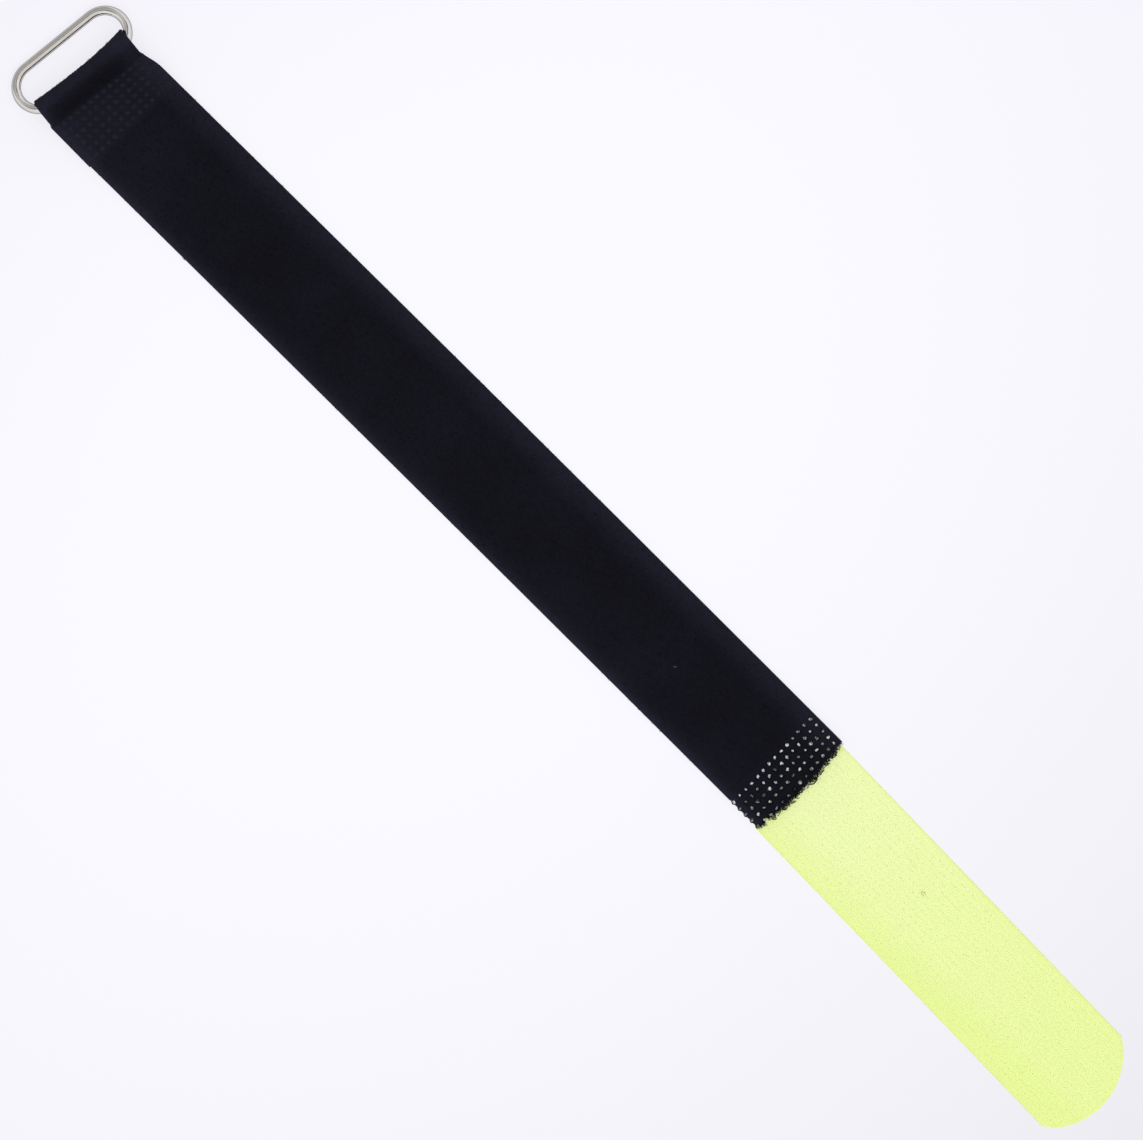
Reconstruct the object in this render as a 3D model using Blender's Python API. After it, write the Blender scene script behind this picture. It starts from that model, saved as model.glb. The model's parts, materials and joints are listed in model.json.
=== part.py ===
"""Hook and loop cable tie.

A black loop strap is folded round the near bar of an oval wire ring and spot-welded back on itself.
A bright hook tab with a rounded tip is spot-welded under the strap's other end.

Lengths are in metres. X runs from the ring to the tip, Y across the strap and Z up. While the pieces are made,
X and Y are measured from the middle of the ring's near bar, and Z from the surface that the tie lies on.
"""

import math

import bmesh
import bpy
from mathutils import Vector

# Lengths along the tie, from the outside of the fold
LENGTH = 0.300  # to the tab's tip
STRAP_REACH = 0.210  # to the strap's cut end, on the tab
TAIL_REACH = 0.016  # to the end of the folded tail

# Loop tape
STRAP_WIDTH = 0.025
PILE_THICKNESS = 0.0013
SELVEDGE_THICKNESS = 0.0005
CROWN_WIDTH = 0.0018  # edge strip over which the pile rises to its full height
LIP_WIDTH = 0.0006  # outermost strip, which no weld dot reaches
SIDE_BOW = 0.00093  # sideways drift of the strap's middle between the ring and the tab

# Fold and eye
EYE_SIDE_ROOM = 0.0006  # the strap draws in over and under the ring's bar, to leave this at each end of it
FOLD_ROUNDING = 0.0003  # and by this more at the fold's rounded corners
EYE_CLEARANCE = 0.0003
EYE_NOSE = 0.0003  # from the eye's round to where the two layers meet
EYE_STEPS = 16
TAIL_OFFSET = 0.0004  # how far the tail's end shows beside the strap
LAYER_GROOVE = 0.0002  # depth of the line between the two layers, at the edge
TAIL_DROP_LENGTH = 0.014  # length in which the strap comes down to the surface past the tail
TAIL_DROP_STEPS = 6

# Ring
RING_INSIDE_LENGTH = 0.025
RING_INSIDE_WIDTH = 0.008
WIRE_DIAMETER = 0.002
RING_SKEW = math.radians(6)  # the ring's bar isn't quite square to the strap
RING_END_STEPS = 14
WIRE_SIDES_SETTING = 6  # bevel resolution, which gives 16 sides

# Spot welds
DOT_COLUMNS = 14
TAIL_DOT_ROWS = 6
TAB_DOT_ROWS = 5
DOT_PITCH = 0.00178
DOT_WIDTH = 0.0007
TAIL_DOT_DEPTH = 0.00045
TAB_DOT_DEPTH = 0.0008

# Hook tab
TAB_WIDTH = 0.0247
TAB_BACKING = 0.00055
HOOK_HEIGHT = 0.0009
HOOK_GAP = 0.0006  # bare strip between the strap's cut end and the first hooks
HOOK_ROWS = 16
HOOK_ROW_WIDTH = 0.0009
HOOK_ROW_TAPER = 0.00018
TAB_SELVEDGE = 0.0014
TAB_SKEW = math.radians(-1.1)
TAB_OFFSET = -0.0005  # the tab sits a little to one side of the strap
TIP_RADIUS = 0.0146
TIP_OFFSET = -0.00045  # the rounded tip is cut slightly off the tab's middle
JOINT_CLEARANCE = 0.00025
JOINT_RISE_LENGTH = 0.006
JOINT_RISE_STEPS = 4
RUN_STEPS = 12

# Places that follow from the sizes
WIRE_RADIUS = WIRE_DIAMETER / 2
STRAP_HALF = STRAP_WIDTH / 2
EYE_HALF = RING_INSIDE_LENGTH / 2 - EYE_SIDE_ROOM
FOLD_HALF = EYE_HALF - FOLD_ROUNDING
BAR_TO_FOLD = WIRE_RADIUS + EYE_CLEARANCE + PILE_THICKNESS
BAR_SPACING = RING_INSIDE_WIDTH + WIRE_DIAMETER
CUT_X = STRAP_REACH - BAR_TO_FOLD
TAIL_X = TAIL_REACH - BAR_TO_FOLD
TIP_X = LENGTH - BAR_TO_FOLD
TAB_WELD_X = CUT_X - TAB_DOT_ROWS * DOT_PITCH
TAB_START_X = TAB_WELD_X + JOINT_CLEARANCE
JOINT_HEIGHT = TAB_BACKING + JOINT_CLEARANCE


def smooth(share):
    """0 to 1 with level ends."""
    share = min(max(share, 0.0), 1.0)
    return share * share * (3 - 2 * share)


def strap_middle(x):
    """Y of the strap's middle line."""
    return SIDE_BOW * (1 - ((CUT_X - x) / CUT_X) ** 2)


def strap_place(x, share, z):
    """A place on the flat strap, at this share of its half width."""
    return Vector((x, strap_middle(x) + share * STRAP_HALF, z))


def thickness(across):
    """Thickness of the loop tape at this share, -1 to 1, of its half width."""
    inward = min((1 - abs(across)) * STRAP_HALF / CROWN_WIDTH, 1.0)
    rise = math.sqrt(1 - (1 - inward) ** 2)
    return SELVEDGE_THICKNESS + (PILE_THICKNESS - SELVEDGE_THICKNESS) * rise


def across_shares():
    """Places across the strap as shares of its half width: the edges, the lips and the sides of the dots."""
    columns = [2 * i / DOT_COLUMNS - 1 for i in range(DOT_COLUMNS + 1)]
    lip = 1 - LIP_WIDTH / STRAP_HALF
    return [-1.0, -lip] + columns[1:-1] + [lip, 1.0]


def eye_radius(along_bar):
    """Radius of the eye round the bar's axis, which clears the ring's rounded ends as it swings."""
    end_radius = RING_INSIDE_WIDTH / 2
    straight_half = RING_INSIDE_LENGTH / 2 - end_radius
    past = min(max(abs(along_bar) - straight_half, 0.0), end_radius)
    ring_edge = WIRE_RADIUS + end_radius - math.sqrt(end_radius**2 - past**2)
    return ring_edge + EYE_CLEARANCE


EYE_LENGTH = eye_radius(EYE_HALF) + EYE_NOSE  # ring bar's axis to where the two layers meet
# The bar is as high as the fold's widest round needs
BAR_Z = max(eye_radius(share * EYE_HALF) + thickness(share) for share in across_shares())
RING_TILT = -math.asin((BAR_Z - WIRE_RADIUS) / BAR_SPACING)


def back_height(x):
    """Height of the strap's smooth back, past the tail."""
    drop = PILE_THICKNESS * (1 - smooth((x - TAIL_X) / TAIL_DROP_LENGTH))
    rise = JOINT_HEIGHT * smooth(1 - (TAB_WELD_X - x) / JOINT_RISE_LENGTH)
    return drop + rise


def evenly(start, end, steps):
    """The places after start, up to end."""
    return [start + (end - start) * (i + 1) / steps for i in range(steps)]


def eye_section(share):
    """The fold's section at this share of the half width, square to the ring's bar, as lists of places: the
    outside of the tail, of the turn and of the strap over the tail, then the inside of the eye and the line
    where the two layers meet."""
    pile = thickness(share)
    along_bar = Vector((math.sin(RING_SKEW), math.cos(RING_SKEW), 0))
    square = Vector((math.cos(RING_SKEW), -math.sin(RING_SKEW), 0))
    up = Vector((0, 0, 1))
    middle = Vector((0, 0, BAR_Z))
    tail_end = strap_place(TAIL_X, share, PILE_THICKNESS)
    slope = math.atan2(PILE_THICKNESS - BAR_Z, TAIL_X)
    away = square * math.cos(slope) + up * math.sin(slope)
    meet = middle + along_bar * share * (EYE_HALF + STRAP_HALF) / 2 + away * EYE_LENGTH

    opening = math.acos(eye_radius(share * EYE_HALF) / EYE_LENGTH)
    turn = 2 * math.pi - 2 * opening
    inside = []
    outside = []
    for step in range(EYE_STEPS + 1):
        angle = slope - opening - turn * step / EYE_STEPS
        spoke = square * math.cos(angle) + up * math.sin(angle)
        towards_fold = max(-math.cos(angle), 0)
        half = EYE_HALF - (EYE_HALF - FOLD_HALF) * towards_fold**2
        radius = eye_radius(share * half)
        centre = middle + along_bar * share * half
        inside.append(centre + spoke * radius)
        outside.append(centre + spoke * (radius + pile))

    line = [meet.lerp(tail_end, i / TAIL_DOT_ROWS) for i in range(TAIL_DOT_ROWS + 1)]
    lift = (up * math.cos(slope) - square * math.sin(slope)) * pile
    below = [place - lift for place in line]
    above = [place + lift for place in line]
    return below, outside, above, inside, line


def strip(bm, first, second):
    """Faces between two rows of points across the strap."""
    return [
        bm.faces.new((first[j], first[j + 1], second[j + 1], second[j]))
        for j in range(len(first) - 1)
    ]


def press_dots(bm, faces, depth):
    """Presses a small square weld dot into the middle of each face."""
    for face in faces:
        centre = face.calc_center_median()
        normal = face.normal.copy()
        made = bmesh.ops.extrude_discrete_faces(bm, faces=[face])["faces"][0]
        for vert in made.verts:
            spoke = vert.co - centre
            spoke -= normal * spoke.dot(normal)
            vert.co = centre + spoke.normalized() * DOT_WIDTH * math.sqrt(0.5) - normal * depth


def make_loop_strap():
    bm = bmesh.new()
    shares = across_shares()
    sections = [eye_section(share) for share in shares]

    def row(kind, index, shift=0.0):
        aside = Vector((0, shift, 0))
        return [bm.verts.new(section[kind][index] + aside) for section in sections]

    below = [row(0, i, -TAIL_OFFSET * i / TAIL_DOT_ROWS) for i in range(TAIL_DOT_ROWS + 1)]
    turn = [row(1, i) for i in range(EYE_STEPS + 1)]
    above = [row(2, i) for i in range(TAIL_DOT_ROWS + 1)]
    inside = [row(3, i) for i in range(EYE_STEPS + 1)]
    meet = row(4, 0)

    # Single layer, from the tail's end to the cut end
    drop_end = TAIL_X + TAIL_DROP_LENGTH
    rise_start = TAB_WELD_X - JOINT_RISE_LENGTH
    places = [TAIL_X]
    places += evenly(TAIL_X, drop_end, TAIL_DROP_STEPS)
    places += evenly(drop_end, rise_start, RUN_STEPS)
    places += evenly(rise_start, TAB_WELD_X, JOINT_RISE_STEPS)
    places += evenly(TAB_WELD_X, CUT_X, TAB_DOT_ROWS)

    def layer(x, rise):
        return [
            bm.verts.new(strap_place(x, share, back_height(x) + rise * thickness(share)))
            for share in shares
        ]

    back = [layer(x, 0) for x in places]
    front = [layer(x, 1) for x in places[1:]]

    outer = below[::-1] + turn + above + front
    outer_strips = [strip(bm, first, second) for first, second in zip(outer, outer[1:])]
    eye_loop = [meet] + inside
    for first, second in zip(eye_loop, eye_loop[1:] + eye_loop[:1]):
        strip(bm, first, second)
    for first, second in zip(back, back[1:]):
        strip(bm, first, second)
    strip(bm, below[-1], back[0])
    strip(bm, front[-1], back[-1])

    # Side edges, with a groove between the two welded layers
    for side, inward in ((0, 1), (-1, -1)):
        line = [meet[side]]
        for i in range(1, TAIL_DOT_ROWS):
            line.append(bm.verts.new(sections[side][4][i] + Vector((0, inward * LAYER_GROOVE, 0))))
        line.append(back[0][side])
        turn_side = [points[side] for points in turn]
        inside_side = [points[side] for points in inside]
        bm.faces.new((below[0][side], turn_side[0], inside_side[0], line[0]))
        bm.faces.new((above[0][side], turn_side[-1], inside_side[-1], line[0]))
        for i in range(EYE_STEPS):
            bm.faces.new((turn_side[i], turn_side[i + 1], inside_side[i + 1], inside_side[i]))
        for layer in (below, above):
            for i in range(TAIL_DOT_ROWS):
                bm.faces.new((layer[i][side], layer[i + 1][side], line[i + 1], line[i]))
        top = [above[-1][side]] + [points[side] for points in front]
        for i in range(len(places) - 1):
            bm.faces.new((top[i], top[i + 1], back[i + 1][side], back[i][side]))

    bmesh.ops.recalc_face_normals(bm, faces=bm.faces)
    bm.normal_update()

    columns = slice(1, 1 + DOT_COLUMNS)
    above_start = TAIL_DOT_ROWS + 1 + EYE_STEPS + 1
    for first_strip in (0, above_start):
        for faces in outer_strips[first_strip : first_strip + TAIL_DOT_ROWS]:
            press_dots(bm, faces[columns], TAIL_DOT_DEPTH)
    for faces in outer_strips[-TAB_DOT_ROWS:]:
        press_dots(bm, faces[columns], TAB_DOT_DEPTH)
    return mesh_object("loop_strap", bm)


def tab_point(bm, along, across, z):
    """A point of the tab, from the strap's cut end and the tab's middle line."""
    x = CUT_X + along * math.cos(TAB_SKEW) - across * math.sin(TAB_SKEW)
    y = strap_middle(CUT_X) + TAB_OFFSET + along * math.sin(TAB_SKEW) + across * math.cos(TAB_SKEW)
    return bm.verts.new((x, y, z))


def tip_along(across):
    """How far the rounded tip reaches past the strap's cut end, at this place across the tab."""
    apex = TIP_X - CUT_X
    return apex - TIP_RADIUS + math.sqrt(TIP_RADIUS**2 - (across - TIP_OFFSET) ** 2)


def make_hook_tab():
    """A thin backing with plain selvedges, and a raised rib for each lengthwise row of hooks."""
    bm = bmesh.new()
    half = TAB_WIDTH / 2
    row_pitch = (TAB_WIDTH - 2 * TAB_SELVEDGE) / HOOK_ROWS
    lines = [-half]
    for i in range(HOOK_ROWS):
        middle = -half + TAB_SELVEDGE + row_pitch * (i + 0.5)
        lines += [middle - HOOK_ROW_WIDTH / 2, middle + HOOK_ROW_WIDTH / 2]
    lines.append(half)

    grids = []
    for z in (0.0, TAB_BACKING):
        start = [tab_point(bm, TAB_START_X - CUT_X, across, z) for across in lines]
        hooks = [tab_point(bm, HOOK_GAP, across, z) for across in lines]
        tip = [tab_point(bm, tip_along(across), across, z) for across in lines]
        grids.append((start, hooks, tip))
    under, over = grids
    for start, hooks, tip in grids:
        strip(bm, start, hooks)
        field = strip(bm, hooks, tip)
    strip(bm, under[0], over[0])
    strip(bm, under[2], over[2])
    for side in (0, -1):
        for i in range(2):
            bm.faces.new((under[i][side], under[i + 1][side], over[i + 1][side], over[i][side]))
    bmesh.ops.recalc_face_normals(bm, faces=bm.faces)

    for face in field[1::2]:
        rib = bmesh.ops.extrude_discrete_faces(bm, faces=[face])["faces"][0]
        centre = rib.calc_center_median()
        for vert in rib.verts:
            vert.co.z += HOOK_HEIGHT
            vert.co.y += math.copysign(HOOK_ROW_TAPER, centre.y - vert.co.y)
            vert.co.x += math.copysign(HOOK_ROW_TAPER, centre.x - vert.co.x)
    return mesh_object("hook_tab", bm)


def oval_points():
    """The wire's centre line: the near bar lies on the Y axis and the far bar at minus X."""
    radius = BAR_SPACING / 2
    straight_half = RING_INSIDE_LENGTH / 2 - RING_INSIDE_WIDTH / 2
    points = []
    for side in (1, -1):
        for step in range(RING_END_STEPS + 1):
            angle = math.pi * step / RING_END_STEPS
            reach = radius * math.cos(angle) * side
            points.append((reach - radius, side * (straight_half + radius * math.sin(angle)), 0.0))
    return points


def make_ring():
    curve = bpy.data.curves.new("ring", "CURVE")
    curve.dimensions = "3D"
    curve.bevel_depth = WIRE_RADIUS
    curve.bevel_resolution = WIRE_SIDES_SETTING
    points = oval_points()
    spline = curve.splines.new("POLY")
    spline.points.add(len(points) - 1)
    for point, place in zip(spline.points, points):
        point.co = (*place, 1.0)
    spline.use_cyclic_u = True
    spline.use_smooth = True
    ring = bpy.data.objects.new("ring", curve)
    bpy.context.scene.collection.objects.link(ring)
    return ring


def mesh_object(name, bm):
    mesh = bpy.data.meshes.new(name)
    bm.to_mesh(mesh)
    bm.free()
    mesh.shade_smooth()
    mesh.set_sharp_from_angle(angle=math.radians(35))
    piece = bpy.data.objects.new(name, mesh)
    bpy.context.scene.collection.objects.link(piece)
    return piece


def paint(piece, name, colour, roughness, metallic=0.0):
    material = bpy.data.materials.new(name)
    material.use_nodes = True
    shader = material.node_tree.nodes["Principled BSDF"]
    shader.inputs["Base Color"].default_value = (*colour, 1.0)
    shader.inputs["Roughness"].default_value = roughness
    shader.inputs["Metallic"].default_value = metallic
    piece.data.materials.append(material)


def empty(name, location=(0, 0, 0), rotation=(0, 0, 0)):
    marker = bpy.data.objects.new(name, None)
    marker.empty_display_size = 0.01
    marker.location = location
    marker.rotation_euler = rotation
    bpy.context.scene.collection.objects.link(marker)
    return marker


def centre_on_surface(root, pieces):
    """Moves the whole tie so that its box's middle is at X = Y = 0 and its lowest point at Z = 0."""
    bpy.context.view_layer.update()
    graph = bpy.context.evaluated_depsgraph_get()
    corners = []
    for piece in pieces:
        mesh = piece.evaluated_get(graph).to_mesh()
        corners += [piece.matrix_world @ vert.co for vert in mesh.vertices]
        piece.evaluated_get(graph).to_mesh_clear()
    lowest = [min(corner[axis] for corner in corners) for axis in range(3)]
    highest = [max(corner[axis] for corner in corners) for axis in range(3)]
    root.location = (-(lowest[0] + highest[0]) / 2, -(lowest[1] + highest[1]) / 2, -lowest[2])


def main():
    for old in list(bpy.data.objects):
        bpy.data.objects.remove(old, do_unlink=True)

    strap = make_loop_strap()
    tab = make_hook_tab()
    ring = make_ring()
    paint(strap, "black_loop_tape", (0.008, 0.008, 0.011), 0.95)
    paint(tab, "yellow_hook_tape", (0.84, 0.95, 0.40), 0.5)
    paint(ring, "nickel_plate", (0.62, 0.60, 0.57), 0.25, metallic=1.0)

    root = empty("tie")
    pivot = empty("ring_pivot", (0, 0, BAR_Z), (0, RING_TILT, -RING_SKEW))
    pivot.parent = root
    ring.parent = pivot
    strap.parent = root
    tab.parent = root
    centre_on_surface(root, (strap, tab, ring))
    bpy.context.view_layer.update()


main()
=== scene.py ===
"""Finish of the hook and loop cable tie.

A black loop strap is folded round an oval wire ring and spot-welded to itself, and a bright hook tab is
spot-welded under its other end. Lengths are in metres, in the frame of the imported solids. Places along and
across the tie are measured from the ring's bar, X towards the tab's tip and Y across.
"""

import json
import math

import bpy
import numpy as np
from bpy.props import FloatProperty, FloatVectorProperty, IntProperty, PointerProperty
from mathutils import Matrix, Vector, noise

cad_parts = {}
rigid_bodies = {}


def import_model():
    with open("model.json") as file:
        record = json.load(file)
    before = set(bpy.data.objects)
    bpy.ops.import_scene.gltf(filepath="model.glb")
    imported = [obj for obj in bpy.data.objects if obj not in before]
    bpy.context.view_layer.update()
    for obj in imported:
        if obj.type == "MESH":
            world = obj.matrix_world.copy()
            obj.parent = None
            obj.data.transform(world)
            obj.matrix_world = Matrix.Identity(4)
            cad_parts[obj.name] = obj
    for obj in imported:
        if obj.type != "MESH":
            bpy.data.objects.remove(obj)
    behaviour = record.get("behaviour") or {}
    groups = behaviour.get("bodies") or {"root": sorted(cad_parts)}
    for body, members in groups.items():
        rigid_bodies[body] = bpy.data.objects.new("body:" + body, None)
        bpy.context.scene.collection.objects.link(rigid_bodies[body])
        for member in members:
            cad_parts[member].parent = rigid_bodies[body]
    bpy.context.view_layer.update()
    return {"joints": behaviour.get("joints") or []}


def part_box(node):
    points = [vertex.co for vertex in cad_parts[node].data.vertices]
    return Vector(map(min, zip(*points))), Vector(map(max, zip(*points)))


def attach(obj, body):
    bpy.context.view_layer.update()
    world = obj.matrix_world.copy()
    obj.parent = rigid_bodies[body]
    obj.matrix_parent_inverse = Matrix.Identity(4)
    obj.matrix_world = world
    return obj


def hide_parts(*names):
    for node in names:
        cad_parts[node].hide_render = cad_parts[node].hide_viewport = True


bl_info = {
    "name": "Hook and loop cable tie",
    "version": (1, 0, 0),
    "blender": (4, 5, 0),
    "location": "3D View > Sidebar > Cable tie",
    "description": "Adds the strap, its pile and welds, the hook tab, the ring and a plain stage",
    "category": "Object",
}

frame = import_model()

# Places that the solids give
SWING = frame["joints"][0]
BAR = Vector(SWING["pos_m"])
ALONG_BAR = Vector(SWING["axis"]).normalized()
BAR_SKEW = math.atan2(ALONG_BAR.x, ALONG_BAR.y)
CUT_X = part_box("loop_strap")[1].x - BAR.x
TIP_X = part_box("hook_tab")[1].x - BAR.x

# How finely the tapes are meshed
CELLS_PER_POINT = 8
EYE_STEPS = 26
NOSE_STEPS = 6
DROP_STEPS = 26
RUN_STEPS = 190
RISE_STEPS = 12
TAB_STEPS = 320
TAB_COLUMNS = 84

LAYER_GAP = 0.00002  # between the strap and its tail, and between the strap and the tab

# Extra columns beside each edge, by their distance from it, and extra rows before the tip, by their share
# of the tab's length
STRAP_RIM_COLUMNS = (0.00004, 0.00011)
TAB_RIM_COLUMNS = (0.00005, 0.00014)
TAB_TIP_ROWS = (0.0005, 0.0015)

DULL_POINTS = (0.0, 0.25, 0.5, 0.45, 0.4)  # share of dark points in each of the joint's rows

# Bits of lint: name, slot, place along and across the tape in the shared frame, colour, size
LINT = (
    ("strap_lint", "black_loop_tape", (0.02864, -0.0006), (0.16, 0.16, 0.18), 0.00026),
    ("tab_lint", "yellow_hook_tape", (0.0979, 0.00246), (0.30, 0.35, 0.10), 0.0004),
)

FLOOR_SIZE = 6.0
FLOOR_DROP = 0.00003  # below the lowest point of the solids
LAMP_PLACE = (0.7, -0.15, 1.9)
LAMP_SIZE = 2.2

# Cards that only the ring mirrors: name, place, length and width, turn about Y, lightness
CARDS = (
    ("low_card", (-1.28, 0.1, 0.51), (1.14, 1.8), -66.0, 0.36),
    ("high_card", (-0.94, 0.1, 1.18), (0.36, 1.8), -36.0, 0.55),
    ("dark_strip", (-0.48, 0.1, 0.9), (0.31, 1.4), -20.0, 0.2),
    ("strap_card", (0.86, 0.1, 0.94), (1.0, 2.0), 42.0, 0.7),
    ("ceiling_card", (0.0, 0.0, 2.9), (2.6, 2.6), 0.0, 0.7),
)

# Painted glow on the tab's nylon, partly its fluorescent dye and partly light that lifts the shade between
# the hooks
GLOWING_NYLON = {"Specular IOR Level": 0.25, "Emission Color": (0.9, 1.0, 0.6, 1.0), "Emission Strength": 0.14}


def number_prop(name, description, default, **settings):
    return FloatProperty(name=name, description=description, default=default, **settings)


def length_prop(name, description, default):
    return number_prop(name, description, default, precision=5, subtype="DISTANCE", unit="LENGTH")


def colour_prop(name, description, default):
    return FloatVectorProperty(
        name=name, description=description, default=default, size=3, min=0.0, max=1.0, subtype="COLOR"
    )


def count_prop(name, description, default):
    return IntProperty(name=name, description=description, default=default, min=1)


class StrapSettings(bpy.types.PropertyGroup):
    """Sizes and colours of the loop strap."""

    width: length_prop("Width", "Width of the loop tape", 0.025)
    pile: length_prop("Pile thickness", "Thickness of the tape with its pile", 0.0013)
    selvedge: length_prop("Selvedge thickness", "Thickness of the tape's thin edge", 0.0005)
    crown: length_prop("Crown width", "Edge strip over which the pile rises", 0.0018)
    bow: length_prop("Side bow", "Sideways drift of the strap between ring and tab", 0.00093)
    tail: length_prop("Tail reach", "From the ring's bar to the end of the folded tail", 0.0134)
    tail_offset: length_prop("Tail offset", "How far the tail's end shows beside the strap", 0.0002)
    tail_drop: length_prop("Tail drop", "Length in which the strap comes down past the tail", 0.014)
    joint_rise: length_prop("Joint rise", "Length in which the strap climbs on the tab", 0.006)
    eye_room: length_prop("Eye side room", "Room beside the strap at each end of the ring's bar", 0.0006)
    fold_rounding: length_prop("Fold rounding", "How much the fold draws in at its corners", 0.0003)
    eye_clearance: length_prop("Eye clearance", "Gap between the ring's wire and the strap", 0.0003)
    eye_nose: length_prop("Eye nose", "From the eye's round to where the layers meet", 0.0003)
    left_corner: length_prop("Left corner", "How far the fold's left corner stands out", 0.0005)
    right_corner: length_prop("Right corner", "How far the fold's right corner stands out", 0.00085)
    pile_colour: colour_prop("Pile colour", "Colour of the napped side", (0.0056, 0.0056, 0.0100))
    back_colour: colour_prop("Back colour", "Colour of the smooth knitted back", (0.011, 0.011, 0.015))
    loops: count_prop("Pile loops", "Number of loose loops on the pile", 7200)
    cut_fibres: count_prop("Cut fibres", "Number of loose fibres at the cut end", 620)


class WeldSettings(bpy.types.PropertyGroup):
    """Sizes and colours of the spot welds."""

    columns: count_prop("Columns", "Weld points across the tape", 14)
    fold_rows: count_prop("Fold rows", "Rows of weld points behind the fold", 6)
    joint_rows: count_prop("Joint rows", "Rows of weld points over the tab", 5)
    pitch: length_prop("Row pitch", "Distance between the joint's rows", 0.00178)
    size: length_prop("Point size", "Width of one weld point", 0.0008)
    fold_depth: length_prop("Fold depth", "Depth of a point behind the fold", 0.00045)
    joint_depth: length_prop("Joint depth", "Depth of a point over the tab", 0.0007)
    joint_slant: number_prop("Joint slant", "How the joint's rows lean back", 0.045)
    joint_offset: length_prop("Joint offset", "Sideways offset of the joint's columns", -0.0005)
    # Painted highlight: the bluish white of a melted point stands in for its glint
    melt_glint_white: colour_prop("Clear melt", "Colour of a clear melted point", (0.84, 0.87, 0.92))
    melt_green: colour_prop("Tab melt", "Colour of a point with melted tab in it", (0.78, 0.88, 0.70))
    melt_thin: colour_prop("Thin melt", "Colour of a point with too little melt in it", (0.03, 0.04, 0.035))


class TabSettings(bpy.types.PropertyGroup):
    """Sizes and colours of the hook tab."""

    width: length_prop("Width", "Width of the hook tape", 0.0247)
    backing: length_prop("Backing", "Thickness of the tape under the hooks", 0.00055)
    selvedge: length_prop("Selvedge", "Width of the plain edge strips", 0.0014)
    hook_height: length_prop("Hook height", "Height of a hook over the backing", 0.0009)
    hook_gap: length_prop("Hook gap", "Bare strip between the strap's end and the hooks", 0.0006)
    rows: count_prop("Hook rows", "Lengthwise rows of hooks", 16)
    hook_pitch: length_prop("Hook pitch", "Distance between the hooks of a row", 0.0011)
    wire: length_prop("Hook wire", "Thickness of the hooks' monofilament", 0.00019)
    skew: number_prop("Skew", "Turn of the tab against the strap", -0.0192, unit="ROTATION")
    offset: length_prop("Offset", "Sideways offset of the tab", -0.0005)
    tip_radius: length_prop("Tip radius", "Radius of the rounded tip", 0.01545)
    tip_offset: length_prop("Tip offset", "Sideways offset of the tip's round", -0.00099)
    tip_reach: length_prop("Tip reach", "How far the tape's tip stands past the solid's", 0.00056)
    colour: colour_prop("Tape colour", "Colour of the hook tape", (0.793, 0.887, 0.401))
    edge_colour: colour_prop("Edge colour", "Colour of its plain edges", (0.73, 0.855, 0.25))


class RingSettings(bpy.types.PropertyGroup):
    """Sizes and colour of the oval ring."""

    inside_length: length_prop("Inside length", "Clear length of the oval", 0.025)
    inside_width: length_prop("Inside width", "Clear width of the oval", 0.008)
    wire: length_prop("Wire", "Diameter of the wire", 0.002)
    colour: colour_prop("Colour", "Colour of the plated wire", (0.93, 0.905, 0.86))


class StageSettings(bpy.types.PropertyGroup):
    """The floor, the light and the camera."""

    view_width: length_prop("View width", "Width of the view at the tie", 0.2358)
    camera_height: length_prop("Camera height", "Height of the camera over the floor", 2.6)
    view_x: length_prop("View X", "The view's middle along the tie", -0.0006)
    view_y: length_prop("View Y", "The view's middle across the tie", -0.00155)
    lamp_power: number_prop("Lamp power", "Power of the soft lamp", 20.0, unit="POWER")
    ambient: number_prop("Ambient", "Strength of the light all round", 0.66)
    floor_colour: colour_prop("Floor colour", "Colour of the floor and backdrop", (0.95, 0.94, 0.995))
    cards: number_prop("Cards", "Lightness of the cards that the ring mirrors", 1.0)
    near_shade: number_prop("Near shade", "Lightness of the floor round the tie", 1.03)
    far_shade: number_prop("Far shade", "Lightness of the floor far from the tie", 0.86)
    shade_reach: length_prop("Shade reach", "From the floor's middle to where it is darkest", 0.206)


def smooth(share):
    """0 to 1 with level ends."""
    share = np.clip(share, 0.0, 1.0)
    return share * share * (3 - 2 * share)


def mix(first, second, share):
    return first + (second - first) * share


def unit(ways):
    return ways / np.linalg.norm(ways, axis=-1, keepdims=True)


def vectors(*parts):
    """One vector for each place, from parts that are arrays or single numbers."""
    return np.stack(np.broadcast_arrays(*parts), axis=-1)


def quarter_round(share):
    """0 to 1 along a quarter circle, steep at the start, and 1 from there on."""
    return np.sqrt(1 - (1 - np.minimum(share, 1.0)) ** 2)


def evenly(start, end, steps):
    """The places after start, up to end."""
    return [start + (end - start) * (i + 1) / steps for i in range(steps)]


def columns_across(count, half, rim):
    """Places from -1 to 1 across a tape: even ones, and extra ones at these distances from its edges."""
    rim = 1 - np.array(rim) / half
    return np.sort(np.concatenate([np.arange(count + 1) / count * 2 - 1, rim, -rim]))


def fine_noise(points, scale, seed=0.0):
    """Smooth noise from -1 to 1 at each point, with this many bumps to a metre."""
    flat = points.reshape(-1, 3) * scale + seed
    return np.array([noise.noise(Vector(place)) for place in flat]).reshape(points.shape[:-1])


def mesh_piece(name, points, faces):
    """A new smooth object from points and faces."""
    mesh = bpy.data.meshes.new(name)
    mesh.from_pydata(points, [], faces)
    mesh.shade_smooth()
    piece = bpy.data.objects.new(name, mesh)
    bpy.context.scene.collection.objects.link(piece)
    return piece


def point_attribute(piece, name, values):
    attribute = piece.data.attributes.new(name, "FLOAT", "POINT")
    attribute.data.foreach_set("value", np.ascontiguousarray(values, np.float32).ravel())


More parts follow.
